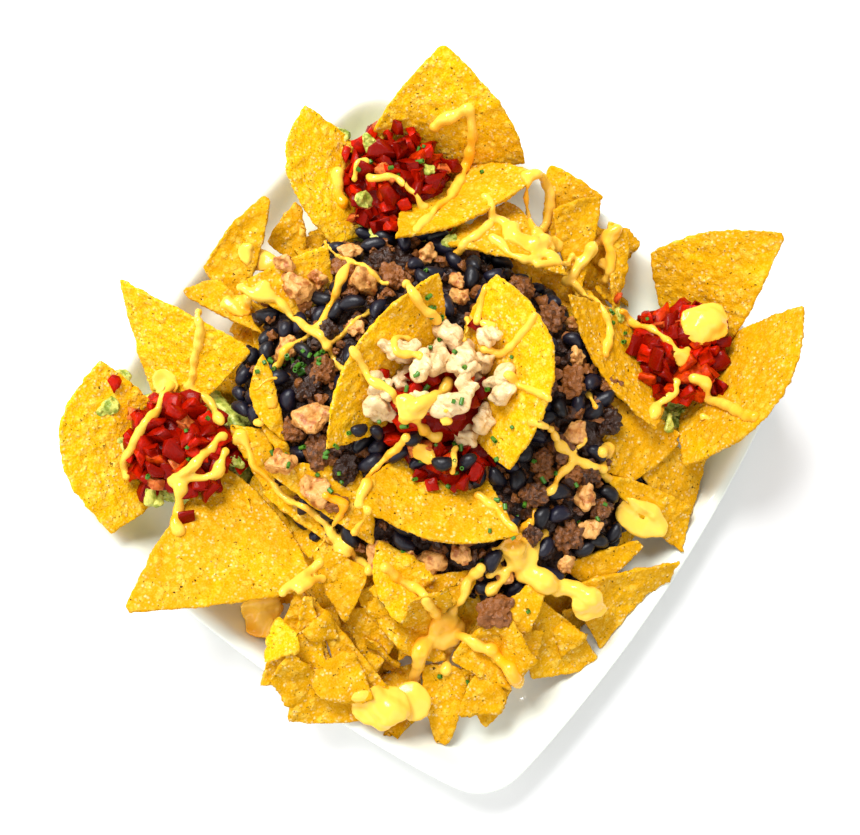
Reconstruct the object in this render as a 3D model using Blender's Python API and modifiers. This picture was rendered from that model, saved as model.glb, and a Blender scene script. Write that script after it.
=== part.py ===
"""Loaded nachos on a square plate.

Corn tortilla chips are heaped on a white plate with bowed sides. Three nests of chips, at its left, top and
right corners, hold tomato salsa over guacamole. A crown of three chips in the middle holds more tomato and
white chicken, and black beans with browned meat fill the space between. Lengths are metres, +Z is up, and
the origin is the middle of the plate's flat base.
"""

import math

import bmesh
import bpy
from mathutils import Matrix, Vector, noise

MM = 0.001

PLATE_HALF = 140 * MM
PLATE_SIDE_RADIUS = 719 * MM
PLATE_CORNER_RADIUS = 28 * MM
PLATE_HEIGHT = 24 * MM
PLATE_FLOOR = 6 * MM
PLATE_ARC_STEPS = 3

CHIP_THICKNESS = 2 * MM
CHIP_TIP_WIDTH = 4 * MM
GAP = 0.5 * MM
FLAT_ENOUGH = math.radians(3)

WHITE_GLAZE = ("white_glaze", (0.80, 0.79, 0.75), 0.12)
CORN_CHIP = ("corn_chip", (0.72, 0.42, 0.035), 0.6)
TOMATO_SALSA = ("tomato_salsa", (0.55, 0.02, 0.01), 0.3)
GUACAMOLE = ("guacamole", (0.42, 0.46, 0.12), 0.5)
WHITE_CHICKEN = ("white_chicken", (0.78, 0.66, 0.48), 0.5)
BEANS_AND_MEAT = ("beans_and_meat", (0.10, 0.05, 0.03), 0.4)
CHEESE_SAUCE = ("cheese_sauce", (0.90, 0.52, 0.06), 0.25)

# The plate from its base, up the outside, over the lip and down inside: inset from its edge, and height.
PLATE_PROFILE = (
    (48 * MM, 0),
    (45 * MM, 0.6 * MM),
    (43 * MM, 2 * MM),
    (24 * MM, 3.2 * MM),
    (14 * MM, 6.5 * MM),
    (6 * MM, 14 * MM),
    (0.8 * MM, PLATE_HEIGHT - 3.2 * MM),
    (0, PLATE_HEIGHT - 1.2 * MM),
    (1.2 * MM, PLATE_HEIGHT - 0.2 * MM),
    (4 * MM, PLATE_HEIGHT),
    (7.5 * MM, PLATE_HEIGHT - 1.5 * MM),
    (13 * MM, 14 * MM),
    (18 * MM, 9 * MM),
    (24 * MM, 6.7 * MM),
    (34 * MM, PLATE_FLOOR),
)

# Each chip: its tip and its two far corners, then how far its far edge and its two sides bulge, how deep it
# dips between the corners (negative for a hump), and how high it arches from the tip to the far edge, all
# in mm. A chip gives way to those before it in this list.
CHIPS = {
    "crown_chip": (
        ((0, 10, 40), (-30, 45, 88), (-25, -45, 72), 14, 2, 6, 2),
        ((0, 15, 42), (45, -5, 72), (-10, 60, 86), 30, 4, 6, 2),
        ((10, 0, 42), (-5, -55, 68), (65, -25, 66), 8, 2, 8, 0),
    ),
    "left_nest_chip": (
        ((-85, -25, 45), (-150, -35, 54), (-100, -75, 16), 4, 2, 3, 4),
        ((-85, -80, 12), (-135, -70, 48), (-85, -130, 36), 22, 4, 5, 3),
        ((-55, -150, 52), (5, -95, 44), (-65, -75, 30), 8, 4, 4, 4),
    ),
    "top_nest_chip": (
        ((-95, 140, 72), (-100, 85, 22), (-35, 130, 38), 4, 9, 5, 6),
        ((-80, 85, 14), (-85, 40, 38), (-135, 85, 52), 17, 3, 5, 3),
        ((-80, 110, 14), (-25, 125, 52), (-60, 55, 58), 3, 2, 6, 2),
    ),
    "right_nest_chip": (
        ((85, 160, 68), (40, 130, 36), (95, 95, 14), 6, 7, 5, 5),
        ((90, 105, 12), (110, 50, 42), (110, 135, 74), 23, 3, 6, 3),
        ((70, 105, 14), (20, 80, 60), (90, 55, 50), 4, 2, 6, 2),
    ),
    "back_chip": (
        ((-30, 110, 36), (15, 90, 52), (-40, 70, 48), 2, 2, -4, 2),
        ((5, 135, 42), (-10, 115, 46), (25, 90, 30), 2, 2, 2, 2),
        ((-25, 135, 38), (5, 140, 36), (0, 100, 22), 3, 2, 2, 2),
        ((15, 130, 34), (30, 130, 32), (45, 95, 24), 3, 4, 2, 2),
    ),
    "left_chip": (
        ((-105, -5, 50), (-85, 35, 52), (-60, 5, 40), 3, 1, 2, 2),
        ((-75, -25, 55), (-70, -45, 50), (-45, -50, 45), 3, 2, -4, 2),
        ((-45, -65, 48), (-10, -40, 50), (15, -65, 44), 3, 1, 2, 2),
        ((-125, 40, 40), (-130, -5, 34), (-105, -5, 30), 4, 3, 4, 2),
        ((-130, -20, 30), (-120, -5, 34), (-85, -15, 36), 3, 1, 2, 2),
        ((-70, -60, 40), (-55, -50, 42), (-35, -75, 34), 2, 1, 3, 2),
        ((-60, -50, 45), (-45, -50, 45), (-35, -60, 40), 2, 0, 2, 1),
        ((-40, -75, 36), (-20, -50, 36), (10, -75, 34), 2, 0, 2, 1),
        ((-105, -5, 30), (-80, -5, 34), (-80, -25, 26), 2, 1, 2, 1),
        ((-115, 50, 25), (-115, 25, 28), (-95, 30, 20), 2, 1, 2, 1),
    ),
    "front_chip": (
        ((5, -100, 46), (15, -130, 38), (30, -120, 36), 2, 0, 3, 1),
        ((0, -100, 43), (10, -145, 30), (35, -120, 32), 3, 1, 2, 2),
        ((5, -100, 40), (70, -115, 29), (30, -150, 29), 4, 1, 1, 2),
        ((25, -80, 42), (60, -45, 42), (50, -80, 34), 8, 2, -6, 2),
        ((20, -75, 40), (-10, -80, 42), (25, -100, 34), 3, 1, 2, 1),
        ((85, -30, 47), (75, -70, 41), (95, -55, 42), 2, 2, 2, 2),
        ((75, -70, 37), (100, -50, 37), (105, -75, 27), 4, 1, 2, 2),
        ((45, -80, 33), (60, -75, 32), (55, -100, 25), 2, 1, 2, 1),
        ((45, -80, 27), (20, -95, 29), (50, -110, 19), 3, 2, 2, 1),
        ((95, -120, 12), (65, -95, 24), (85, -85, 26), 2, 3, 3, 1),
        ((105, -100, 15), (80, -85, 28), (105, -80, 26), 2, 2, 3, 1),
        ((75, -85, 32), (75, -70, 36), (105, -80, 28), 2, 2, 2, 1),
        ((85, -40, 36), (135, -45, 19), (110, -70, 23), 2, 5, 3, 2),
        ((100, -25, 37), (135, 15, 29), (130, -40, 19), 8, 2, 4, 2),
    ),
    "right_chip": (
        ((115, 10, 35), (90, -20, 38), (110, -20, 32), 2, 1, 2, 1),
        ((85, 25, 40), (125, 40, 28), (135, 20, 23), 3, 3, 3, 2),
        ((60, 55, 43), (105, 65, 35), (90, 20, 39), 3, 2, 2, 2),
        ((80, 45, 36), (120, 65, 24), (130, 30, 23), 3, 3, 3, 2),
    ),
}
SMALL_CHIP = 55 * MM
LARGE_CHIP_CELLS = (4, 5)
SMALL_CHIP_CELLS = (2, 3)

# Each mound: name, material, foot's centre, the two radii, the height, all in mm, the turn in degrees and
# the unevenness. A mound gives way to those before it in this list.
MOUNDS = (
    ("white_chicken", WHITE_CHICKEN, (0, 5, 60), (27, 23), 20, 30, 0.10),
    ("crown_salsa", TOMATO_SALSA, (10, -5, 46), (33, 30), 20, 20, 0.12),
    ("left_nest_salsa", TOMATO_SALSA, (-85, -80, 32), (29, 26), 20, 10, 0.12),
    ("top_nest_salsa", TOMATO_SALSA, (-80, 85, 32), (31, 30), 20, 20, 0.12),
    ("right_nest_salsa", TOMATO_SALSA, (80, 95, 31), (29, 25), 20, 75, 0.12),
    ("left_nest_guacamole", GUACAMOLE, (-85, -75, 14), (35, 30), 24, 10, 0.08),
    ("top_nest_guacamole", GUACAMOLE, (-80, 85, 14), (35, 32), 24, 20, 0.08),
    ("right_nest_guacamole", GUACAMOLE, (85, 95, 14), (35, 30), 24, 75, 0.08),
    ("beans_and_meat", BEANS_AND_MEAT, (0, 5, 25), (105, 80), 35, 0, 0.10),
    ("broken_chips", CORN_CHIP, (5, 0, 6), (120, 115), 34, 0, 0.06),
    ("right_nest_cheese", CHEESE_SAUCE, (80, 110, 50), (12, 9), 6, 60, 0.12),
    ("front_cheese", CHEESE_SAUCE, (65, -120, 28), (12, 10), 8, 20, 0.12),
    ("front_left_cheese", CHEESE_SAUCE, (-5, -120, 12), (12, 9), 6, -60, 0.12),
    ("front_right_cheese", CHEESE_SAUCE, (105, -30, 38), (16, 9), 6, 30, 0.12),
)
MOUND_UNDERSIDE = 4
MOUND_SHOULDER = 0.8
LARGE_MOUND = 60 * MM
LARGE_MOUND_CELLS = (26, 10)
SMALL_MOUND_CELLS = (12, 6)


def clear_scene():
    """Removes whatever the file holds, so that the part is alone."""
    for old in list(bpy.data.objects):
        bpy.data.objects.remove(old, do_unlink=True)


def make_collection(name):
    made = bpy.data.collections.new(name)
    bpy.context.scene.collection.children.link(made)
    return made


def make_material(look):
    name, colour, roughness = look
    made = bpy.data.materials.get(name)
    if made is None:
        made = bpy.data.materials.new(name)
        made.use_nodes = True
        surface = made.node_tree.nodes["Principled BSDF"]
        surface.inputs["Base Color"].default_value = (*colour, 1)
        surface.inputs["Roughness"].default_value = roughness
    return made


def add_object(name, bm, look, collection):
    """A new object from the edit mesh, which is cut into triangles and freed."""
    bmesh.ops.triangulate(bm, faces=bm.faces)
    mesh = bpy.data.meshes.new(name)
    bm.to_mesh(mesh)
    bm.free()
    mesh.materials.append(make_material(look))
    made = bpy.data.objects.new(name, mesh)
    collection.objects.link(made)
    return made


def bowed_square(inset):
    """The plate's outline, this far inside its edge: four shallow side arcs joined by four corner arcs."""
    half = PLATE_HALF - inset
    side = PLATE_SIDE_RADIUS - inset
    corner = max(PLATE_CORNER_RADIUS - 0.45 * inset, 4 * MM)
    offset = side - half
    reach = side - corner
    centre = (math.sqrt(2 * reach**2 - offset**2) - offset) / 2
    turn = math.atan2(centre, centre + offset)
    points = []
    for quarter in range(4):
        spin = Matrix.Rotation(quarter * math.pi / 2, 2)
        for step in range(PLATE_ARC_STEPS + 1):
            angle = turn * (2 * step / (PLATE_ARC_STEPS + 1) - 1)
            points.append(spin @ Vector((side * math.cos(angle) - offset, side * math.sin(angle))))
        for step in range(PLATE_ARC_STEPS):
            angle = turn + (math.pi / 2 - 2 * turn) * step / PLATE_ARC_STEPS
            arm = Vector((math.cos(angle), math.sin(angle))) * corner
            points.append(spin @ (Vector((centre, centre)) + arm))
    return points


def add_plate(collection):
    """A loft through the outline at each step of the profile, closed by the base and the floor."""
    bm = bmesh.new()
    rings = []
    for inset, height in PLATE_PROFILE:
        rings.append([bm.verts.new((*point, height)) for point in bowed_square(inset)])
    count = len(rings[0])
    for lower, upper in zip(rings, rings[1:]):
        for i in range(count):
            j = (i + 1) % count
            bm.faces.new((lower[i], lower[j], upper[j], upper[i]))
    bm.faces.new(reversed(rings[0]))
    bm.faces.new(rings[-1])
    bmesh.ops.recalc_face_normals(bm, faces=bm.faces)
    plate = add_object("plate", bm, WHITE_GLAZE, collection)
    plate.data.shade_smooth()
    plate.data.set_sharp_from_angle(angle=math.radians(40))
    return plate


def add_chip(name, tip, left, right, bulge, side, dip, arch, collection):
    """A grid bent into a chip: its rows run from the blunt tip to the bulging far edge."""
    tip, left, right = (Vector(corner) * MM for corner in (tip, left, right))
    outward = ((left + right) / 2 - tip).normalized()
    sideways = (right - left).normalized()
    face = (left - tip).cross(right - tip).normalized()
    if face.z < 0:
        face.negate()
    reach = max((left - tip).length, (right - tip).length)
    along, across = LARGE_CHIP_CELLS if reach > SMALL_CHIP else SMALL_CHIP_CELLS
    bm = bmesh.new()
    bmesh.ops.create_grid(bm, x_segments=along, y_segments=across, size=0.5)
    for vert in bm.verts:
        u = vert.co.x + 0.5
        v = vert.co.y + 0.5
        middle = 4 * v * (1 - v)
        halfway = 4 * u * (1 - u)
        near = tip + sideways * CHIP_TIP_WIDTH * (v - 0.5)
        far = left.lerp(right, v) + outward * bulge * MM * middle
        ripple = noise.noise(Vector((far.x, far.y, u)) * 25) * 1.5
        lift = (arch * halfway - dip * middle * u + ripple * u) * MM
        spread = side * MM * halfway * (2 * v - 1)
        vert.co = near.lerp(far, u) + sideways * spread + face * lift
    chip = add_object(name, bm, CORN_CHIP, collection)
    solidify = chip.modifiers.new("thickness", "SOLIDIFY")
    solidify.thickness = CHIP_THICKNESS
    solidify.offset = 0
    return chip


def add_mound(name, look, foot, radii, height, turn, unevenness, collection):
    """A ball pressed flat underneath and pushed in and out, so that it lies like a spooned heap."""
    across = max(radii) * MM
    segments, rows = LARGE_MOUND_CELLS if across > LARGE_MOUND else SMALL_MOUND_CELLS
    bm = bmesh.new()
    bmesh.ops.create_uvsphere(bm, u_segments=segments, v_segments=rows, radius=1)
    spin = Matrix.Rotation(math.radians(turn), 3, "Z")
    seed = Vector(foot) / 7
    for vert in bm.verts:
        spot = vert.co.copy()
        side = Vector((spot.x, spot.y, max(spot.z, 0))).normalized()
        swell = 1 + unevenness * (noise.noise(side * 1.7 + seed) + noise.noise(side * 4 + seed))
        rise = spot.z**MOUND_SHOULDER * height if spot.z > 0 else spot.z * MOUND_UNDERSIDE
        vert.co = spin @ (Vector((spot.x * radii[0], spot.y * radii[1], rise)) * swell * MM)
        vert.co += Vector(foot) * MM
    mound = add_object(name, bm, look, collection)
    mound.data.shade_smooth()
    return mound


def apply_modifiers(obj):
    graph = bpy.context.evaluated_depsgraph_get()
    shaped = bpy.data.meshes.new_from_object(obj.evaluated_get(graph))
    obj.modifiers.clear()
    bm = bmesh.new()
    bm.from_mesh(shaped)
    bmesh.ops.triangulate(bm, faces=bm.faces)
    bm.to_mesh(obj.data)
    bm.free()
    bpy.data.meshes.remove(shaped)


def box_of(obj):
    corners = [vert.co for vert in obj.data.vertices]
    return [(min(c[i] for c in corners), max(c[i] for c in corners)) for i in range(3)]


def boxes_meet(first, second):
    return all(a[0] < b[1] and b[0] < a[1] for a, b in zip(box_of(first), box_of(second)))


def volume_of(faces):
    total = 0
    for face in faces:
        first, *others = [vert.co for vert in face.verts]
        for second, third in zip(others, others[1:]):
            total += first.dot(second.cross(third)) / 6
    return total


def keep_largest_piece(obj):
    """Deletes what a cut has left loose."""
    bm = bmesh.new()
    bm.from_mesh(obj.data)
    waiting = set(bm.faces)
    pieces = []
    while waiting:
        front = [waiting.pop()]
        piece = []
        while front:
            face = front.pop()
            piece.append(face)
            for edge in face.edges:
                for other in edge.link_faces if len(edge.link_faces) == 2 else ():
                    if other in waiting:
                        waiting.remove(other)
                        front.append(other)
        pieces.append(piece)
    pieces.sort(key=volume_of)
    loose = [face for piece in pieces[:-1] for face in piece]
    bmesh.ops.delete(bm, geom=loose, context="FACES")
    bmesh.ops.dissolve_limit(bm, angle_limit=FLAT_ENOUGH, verts=bm.verts, edges=bm.edges)
    bmesh.ops.triangulate(bm, faces=bm.faces)
    bm.to_mesh(obj.data)
    bm.free()


def add_cutter(obj, collection):
    """The object grown by the gap, for cutting its neighbours back from it."""
    cutter = bpy.data.objects.new(obj.name + "_cutter", obj.data.copy())
    collection.objects.link(cutter)
    grow = cutter.modifiers.new("gap", "DISPLACE")
    grow.mid_level = 0
    grow.strength = GAP
    apply_modifiers(cutter)
    cutter.hide_render = True
    cutter.display_type = "WIRE"
    return cutter


def cut_back(obj, earlier):
    """Cuts from the object every earlier cutter that it meets."""
    for cutter in earlier:
        if boxes_meet(obj, cutter):
            cut = obj.modifiers.new(cutter.name, "BOOLEAN")
            cut.operation = "DIFFERENCE"
            cut.solver = "EXACT"
            cut.object = cutter
    if obj.modifiers:
        apply_modifiers(obj)
        keep_largest_piece(obj)


def main():
    clear_scene()
    nachos = make_collection("nachos")
    cutters = make_collection("cutters")
    pieces = [add_plate(nachos)]
    for group, rows in CHIPS.items():
        for number, row in enumerate(rows, 1):
            chip = add_chip(f"{group}_{number}", *row, nachos)
            apply_modifiers(chip)
            pieces.append(chip)
    for row in MOUNDS:
        pieces.append(add_mound(*row, nachos))
    earlier = []
    for piece in pieces:
        cutter = add_cutter(piece, cutters)
        cut_back(piece, earlier)
        earlier.append(cutter)


main()
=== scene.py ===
"""Loaded nachos on a square plate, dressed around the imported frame.

The sections follow the plate as it is filled: the plate, the chips, the broken chips under them, guacamole,
salsa, beans and meat, white chicken, chives, and the cheese sauce that runs over everything. The floor,
the lights and the camera come last. Lengths are metres, +Z is up, and the origin is the middle of the
plate's flat base.
"""

import math
import random

import bpy
from mathutils import Matrix, Vector, noise
from mathutils.bvhtree import BVHTree


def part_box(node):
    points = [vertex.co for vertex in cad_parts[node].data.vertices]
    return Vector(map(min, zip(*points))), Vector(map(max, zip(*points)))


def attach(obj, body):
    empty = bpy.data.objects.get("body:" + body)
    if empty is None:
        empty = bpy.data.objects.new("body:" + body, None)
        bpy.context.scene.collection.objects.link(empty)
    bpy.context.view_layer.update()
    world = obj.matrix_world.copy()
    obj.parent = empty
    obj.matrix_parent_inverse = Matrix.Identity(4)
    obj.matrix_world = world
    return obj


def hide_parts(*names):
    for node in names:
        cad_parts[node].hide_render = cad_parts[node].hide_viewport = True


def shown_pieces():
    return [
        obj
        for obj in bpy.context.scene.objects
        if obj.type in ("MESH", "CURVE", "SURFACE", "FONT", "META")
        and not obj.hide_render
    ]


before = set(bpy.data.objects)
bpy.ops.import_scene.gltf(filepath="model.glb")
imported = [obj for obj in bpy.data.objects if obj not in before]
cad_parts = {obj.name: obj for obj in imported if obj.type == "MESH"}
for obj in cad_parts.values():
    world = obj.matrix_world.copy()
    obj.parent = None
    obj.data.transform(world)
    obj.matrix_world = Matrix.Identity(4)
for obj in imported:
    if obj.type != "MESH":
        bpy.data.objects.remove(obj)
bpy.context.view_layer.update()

# The plate: one pressing of white porcelain with bowed sides and a rolled lip, under a clear glaze. Its
# form comes from the frame, and more subdivision takes the facets out of its curves.
MM = 0.001
MERGE_DISTANCE = 0.01 * MM
QUAD_FLATNESS = math.radians(30)
QUAD_SKEW = math.radians(60)
# How much of a spot is full, from its middle out, before it fades.
SPOT_CORE = 0.3
GLAZE_WHITE = (0.86, 0.92, 0.84)
GLAZE_SHADE = (0.84, 0.88, 0.78)


def srgb(red, green, blue):
    """The linear colour of three screen values from 0 to 255."""
    shares = [value / 255 for value in (red, green, blue)]
    return tuple(s / 12.92 if s <= 0.04 else ((s + 0.055) / 1.055) ** 2.4 for s in shares)


class Wire:
    """A shader socket. An operator on it adds a Math node and gives that node's output."""

    def __init__(self, finish, socket):
        self.finish = finish
        self.socket = socket

    def maths(self, operation, first, second):
        return self.finish.add("ShaderNodeMath", {"operation": operation}, {0: first, 1: second})

    def __add__(self, other):
        return self.maths("ADD", self, other)

    __radd__ = __add__

    def __sub__(self, other):
        return self.maths("SUBTRACT", self, other)

    def __rsub__(self, other):
        return self.maths("SUBTRACT", other, self)

    def __mul__(self, other):
        return self.maths("MULTIPLY", self, other)

    __rmul__ = __mul__


class Finish:
    """A procedural material on Object coordinates, with one method that adds any node."""

    def __init__(self, name, constants):
        self.material = bpy.data.materials.new(name)
        self.material.use_nodes = True
        self.surface = self.material.node_tree.nodes["Principled BSDF"]
        self.place = self.add("ShaderNodeTexCoord", output="Object")
        for socket, value in constants.items():
            self.fill(self.surface, socket, value)

    def fill(self, node, socket, value):
        """Sets one socket, or links it if the value is a wire."""
        if isinstance(value, Wire):
            self.material.node_tree.links.new(value.socket, node.inputs[socket])
        elif isinstance(value, tuple) and node.inputs[socket].type == "RGBA":
            node.inputs[socket].default_value = (*value, 1)
        else:
            node.inputs[socket].default_value = value

    def add(self, kind, settings=None, sockets=None, output=0):
        """Adds one node and gives one of its outputs."""
        node = self.material.node_tree.nodes.new(kind)
        for setting, value in (settings or {}).items():
            setattr(node, setting, value)
        for socket, value in (sockets or {}).items():
            self.fill(node, socket, value)
        return Wire(self, node.outputs[output])

    def mix(self, share, first, second):
        """The first colour, turning into the second as the share goes from 0 to 1."""
        return self.add("ShaderNodeMix", {"data_type": "RGBA"}, {0: share, 6: first, 7: second}, 2)

    def noise(self, size, detail=2, stretch=(1, 1, 1)):
        """Smooth noise whose patches are about that size across, from 0 to 1."""
        place = self.add("ShaderNodeVectorMath", {"operation": "MULTIPLY"}, {0: self.place, 1: stretch})
        return self.add("ShaderNodeTexNoise", {}, {"Vector": place, "Scale": 1 / size, "Detail": detail})

    def step(self, value, low, high):
        """0 below low, 1 above high and a smooth rise between them."""
        settings = {"interpolation_type": "SMOOTHSTEP"}
        return self.add("ShaderNodeMapRange", settings, {"Value": value, "From Min": low, "From Max": high})

    def spots(self, spacing, size):
        """1 inside spots of that size, about that far apart, and 0 between them."""
        wander = self.add("ShaderNodeTexNoise", {}, {"Vector": self.place, "Scale": 2 / spacing}, "Color")
        sockets = {0: wander, 1: (spacing / 2,) * 3, 2: self.place}
        place = self.add("ShaderNodeVectorMath", {"operation": "MULTIPLY_ADD"}, sockets)
        distance = self.add("ShaderNodeTexVoronoi", {}, {"Vector": place, "Scale": 1 / spacing})
        return 1 - self.step(distance, size / spacing * SPOT_CORE, size / spacing)

    def feed(self, socket, value):
        """Sets or links one socket of the surface itself."""
        self.fill(self.surface, socket, value)

    def bump(self, height, distance):
        """Feeds the height to the surface's normal, with 1 standing that far out."""
        sockets = {"Height": height, "Strength": 1.0, "Distance": distance}
        self.feed("Normal", self.add("ShaderNodeBump", {}, sockets))


def select_only(obj):
    bpy.ops.object.select_all(action="DESELECT")
    obj.select_set(True)
    bpy.context.view_layer.objects.active = obj


def add_modifier(obj, kind, **settings):
    modifier = obj.modifiers.new(kind.lower(), kind)
    for setting, value in settings.items():
        setattr(modifier, setting, value)


def apply_modifiers(obj):
    select_only(obj)
    for modifier in list(obj.modifiers):
        bpy.ops.object.modifier_apply(modifier=modifier.name)


def copy_of_node(node, name):
    """A new object with the CAD node's shape: loose triangles merged, then joined into quads."""
    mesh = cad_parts[node].data.copy()
    mesh.materials.clear()
    copy = bpy.data.objects.new(name, mesh)
    bpy.context.scene.collection.objects.link(copy)
    select_only(copy)
    bpy.ops.mesh.customdata_custom_splitnormals_clear()
    bpy.ops.object.mode_set(mode="EDIT")
    bpy.ops.mesh.select_all(action="SELECT")
    bpy.ops.mesh.remove_doubles(threshold=MERGE_DISTANCE)
    bpy.ops.mesh.tris_convert_to_quads(face_threshold=QUAD_FLATNESS, shape_threshold=QUAD_SKEW)
    bpy.ops.object.mode_set(mode="OBJECT")
    return copy


def dress(obj, finish, slot, *nodes):
    """Gives a finished piece its material and its place on the part, and hides the CAD nodes that it stands
    for.
    """
    obj.data.materials.clear()
    obj.data.materials.append(finish.material)
    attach(obj, "root")
    if nodes:
        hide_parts(*nodes)


glaze = Finish("glazed_porcelain", {"Roughness": 0.16, "Coat Weight": 0.5, "Coat Roughness": 0.05})
glaze.feed("Base Color", glaze.mix(glaze.noise(60 * MM), GLAZE_WHITE, GLAZE_SHADE))
glaze.bump(glaze.noise(18 * MM), 0.15 * MM)

plate = copy_of_node("plate", "porcelain_plate")
add_modifier(plate, "SUBSURF", levels=3, render_levels=3)
apply_modifiers(plate)
bpy.ops.object.shade_smooth()
dress(plate, glaze, "white_glaze", "plate")

# The large chips: corn tortillas cut in sectors and fried until they curl. They are golden, flecked with dark
# bits of husk and raised in pale blisters, and their edges stay crisp. Their colour also holds painted light:
# small near-white glints, and painted shade that makes some chips darker than others.
CHIP_EDGE = math.radians(50)
CHIP_VOXEL = 0.8 * MM
CHIP_WAVE = 1.6 * MM
CHIP_BLISTERS = 0.6 * MM
CHIP_CRUMBLE = 0.4 * MM
CHIP_GOLD = srgb(240, 180, 0)
CHIP_PALE = srgb(255, 218, 92)
CHIP_TOASTED_AND_SHADED = srgb(208, 148, 0)
# A near-white for painted glints of light on the oil.
CHIP_PAINTED_GLINT = srgb(255, 234, 170)
HUSK = srgb(72, 46, 4)
# How toasted each group of chips is, from 0 to 1, and the single chips that differ from their group. The
# values are also painted shade: paler for the lit left nest, and darker for the lower loose chips, for the
# third left chip and for the shaded inner face of the right nest's third chip.
TOASTS_AND_PAINTED_SHADE = {
    "left_nest": 0.05, "top_nest": 0.25, "right_nest": 0.6, "crown": 0.35,
    "front": 0.7, "back": 0.8, "right": 0.85,
    "left_nest_chip_3": 0.6, "right_nest_chip_3": 1.0, "crown_chip_3": 0.7, "top_nest_chip_3": 0.6,
}
TOAST_AND_SHADE_ELSEWHERE = 0.65
BROWNING = (-0.1, 0.2)
# The groups that stand round a filling warp less than the loose chips.
HELD_UPRIGHT = ("left_nest", "top_nest", "right_nest", "crown")
STIFF_WARP = 2.4 * MM
LOOSE_WARP = 5 * MM
PLATE_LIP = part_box("plate")[1].z
PLATE_CLEARANCE = 0.2 * MM
ABOVE_ALL = 200 * MM
DOWN = Vector((0, 0, -1))
UP = Vector((0, 0, 1))


def relief(name, kind, size, **settings):
    """A texture for raising and sinking a surface, in patches of that size."""
    made = bpy.data.textures.new(name, kind)
    made.noise_scale = size
    for setting, value in settings.items():
        setattr(made, setting, value)
    return made


curl = relief("chip_curl", "CLOUDS", 16 * MM)
blister = relief("chip_blister", "CLOUDS", 3.2 * MM, noise_depth=1)
wavy = relief("chip_wavy_edge", "CLOUDS", 6 * MM, noise_depth=1)
ragged = relief("chip_ragged_edge", "CLOUDS", 1.6 * MM, noise_depth=1)

fried_corn = Finish("fried_corn", {"Specular IOR Level": 0.05})
chip_toast_and_shade = fried_corn.add("ShaderNodeAttribute", {"attribute_name": "shade"}, output="Fac")
# Painted shade: a chip's toast value, which is partly painted shade, draws its patches towards the darker
# gold.
toasted_and_shaded_patches = fried_corn.step(fried_corn.noise(18 * MM, 3) + chip_toast_and_shade * 0.5, 0.45, 1.0)
bubbles = fried_corn.spots(4 * MM, 2.3 * MM) * fried_corn.step(fried_corn.noise(6 * MM), 0.32, 0.6)
pimples_and_painted_glints = fried_corn.spots(2.2 * MM, 0.9 * MM) * fried_corn.step(fried_corn.noise(8 * MM), 0.4, 0.6)
grain = fried_corn.noise(0.9 * MM, 2)
corn = fried_corn.mix(toasted_and_shaded_patches, CHIP_GOLD, CHIP_TOASTED_AND_SHADED)
pale = bubbles * 0.6 + fried_corn.step(grain, 0.48, 0.68) * 0.35
corn = fried_corn.mix(pale * (1 - chip_toast_and_shade * 0.5), corn, CHIP_PALE)
# Painted highlight: the small pimples are drawn towards the near-white, as glints of light on the oil. They
# also stay in the bump as real relief.
corn = fried_corn.mix(pimples_and_painted_glints * 0.55, corn, CHIP_PAINTED_GLINT)
corn = fried_corn.mix((1 - fried_corn.step(grain, 0.3, 0.5)) * 0.45, corn, CHIP_TOASTED_AND_SHADED)
dusting = fried_corn.step(fried_corn.noise(6 * MM), 0.4, 0.62)
fine_flecks = fried_corn.step(fried_corn.noise(1.2 * MM, 2), 0.63, 0.69) * dusting
coarse_flecks = fried_corn.step(fried_corn.noise(2.4 * MM, 2), 0.7, 0.74)
corn = fried_corn.mix(fine_flecks * 0.8 + coarse_flecks * 0.8, corn, HUSK)
fried_corn.feed("Base Color", corn)
fried_corn.feed("Roughness", 0.58 - bubbles * 0.2)
fried_corn.bump(bubbles * 0.8 + pimples_and_painted_glints * 0.5 + grain, 0.4 * MM)


def roughen(obj, warp, wave, blisters, crumble, anchor="LOCAL"):
    """Adds what frying does to a flat sheet: a slow warp, then reliefs that are finer and finer."""
    add_modifier(obj, "DISPLACE", texture=curl, direction="Z", strength=warp, texture_coords=anchor)
    for texture, strength in ((wavy, wave), (blister, blisters), (ragged, crumble)):
        add_modifier(obj, "DISPLACE", texture=texture, strength=strength, texture_coords=anchor)


def fry(chip, warp):
    """Turns a plain bent sheet into a fried one: warped, with blistered faces and a ragged edge."""
    add_modifier(chip, "SUBSURF", levels=3, render_levels=3)
    add_modifier(chip, "REMESH", mode="VOXEL", voxel_size=CHIP_VOXEL)
    roughen(chip, warp, CHIP_WAVE, CHIP_BLISTERS, CHIP_CRUMBLE)
    apply_modifiers(chip)
    bpy.ops.object.shade_smooth()


def tint(obj, shade):
    """Stores one shade on the whole object, for its material to read."""
    values = obj.data.attributes.new("shade", "FLOAT", "POINT")
    values.data.foreach_set("value", [shade] * len(obj.data.vertices))


def tree_of(objects):
    """One tree of all the objects' faces, for measuring down to them."""
    points = []
    faces = []
    for obj in objects:
        start = len(points)
        points.extend(vert.co for vert in obj.data.vertices)
        faces.extend([start + index for index in face.vertices] for face in obj.data.polygons)
    return BVHTree.FromPolygons(points, faces)


def first_below(tree, x, y, start=ABOVE_ALL):
    """The spot that a plumb line from the start meets first, and the slope there, or None for both."""
    spot, slope, _, _ = tree.ray_cast(Vector((x, y, start)), DOWN)
    return spot, slope


def keep_above_plate(obj):
    """Raises what would pass through the plate to just above its face, or its lip beyond the edge."""
    for vert in obj.data.vertices:
        if vert.co.z < PLATE_LIP:
            spot, _ = first_below(plate_face, vert.co.x, vert.co.y)
            vert.co.z = max(vert.co.z, (spot.z if spot else PLATE_LIP) + PLATE_CLEARANCE)


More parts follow.
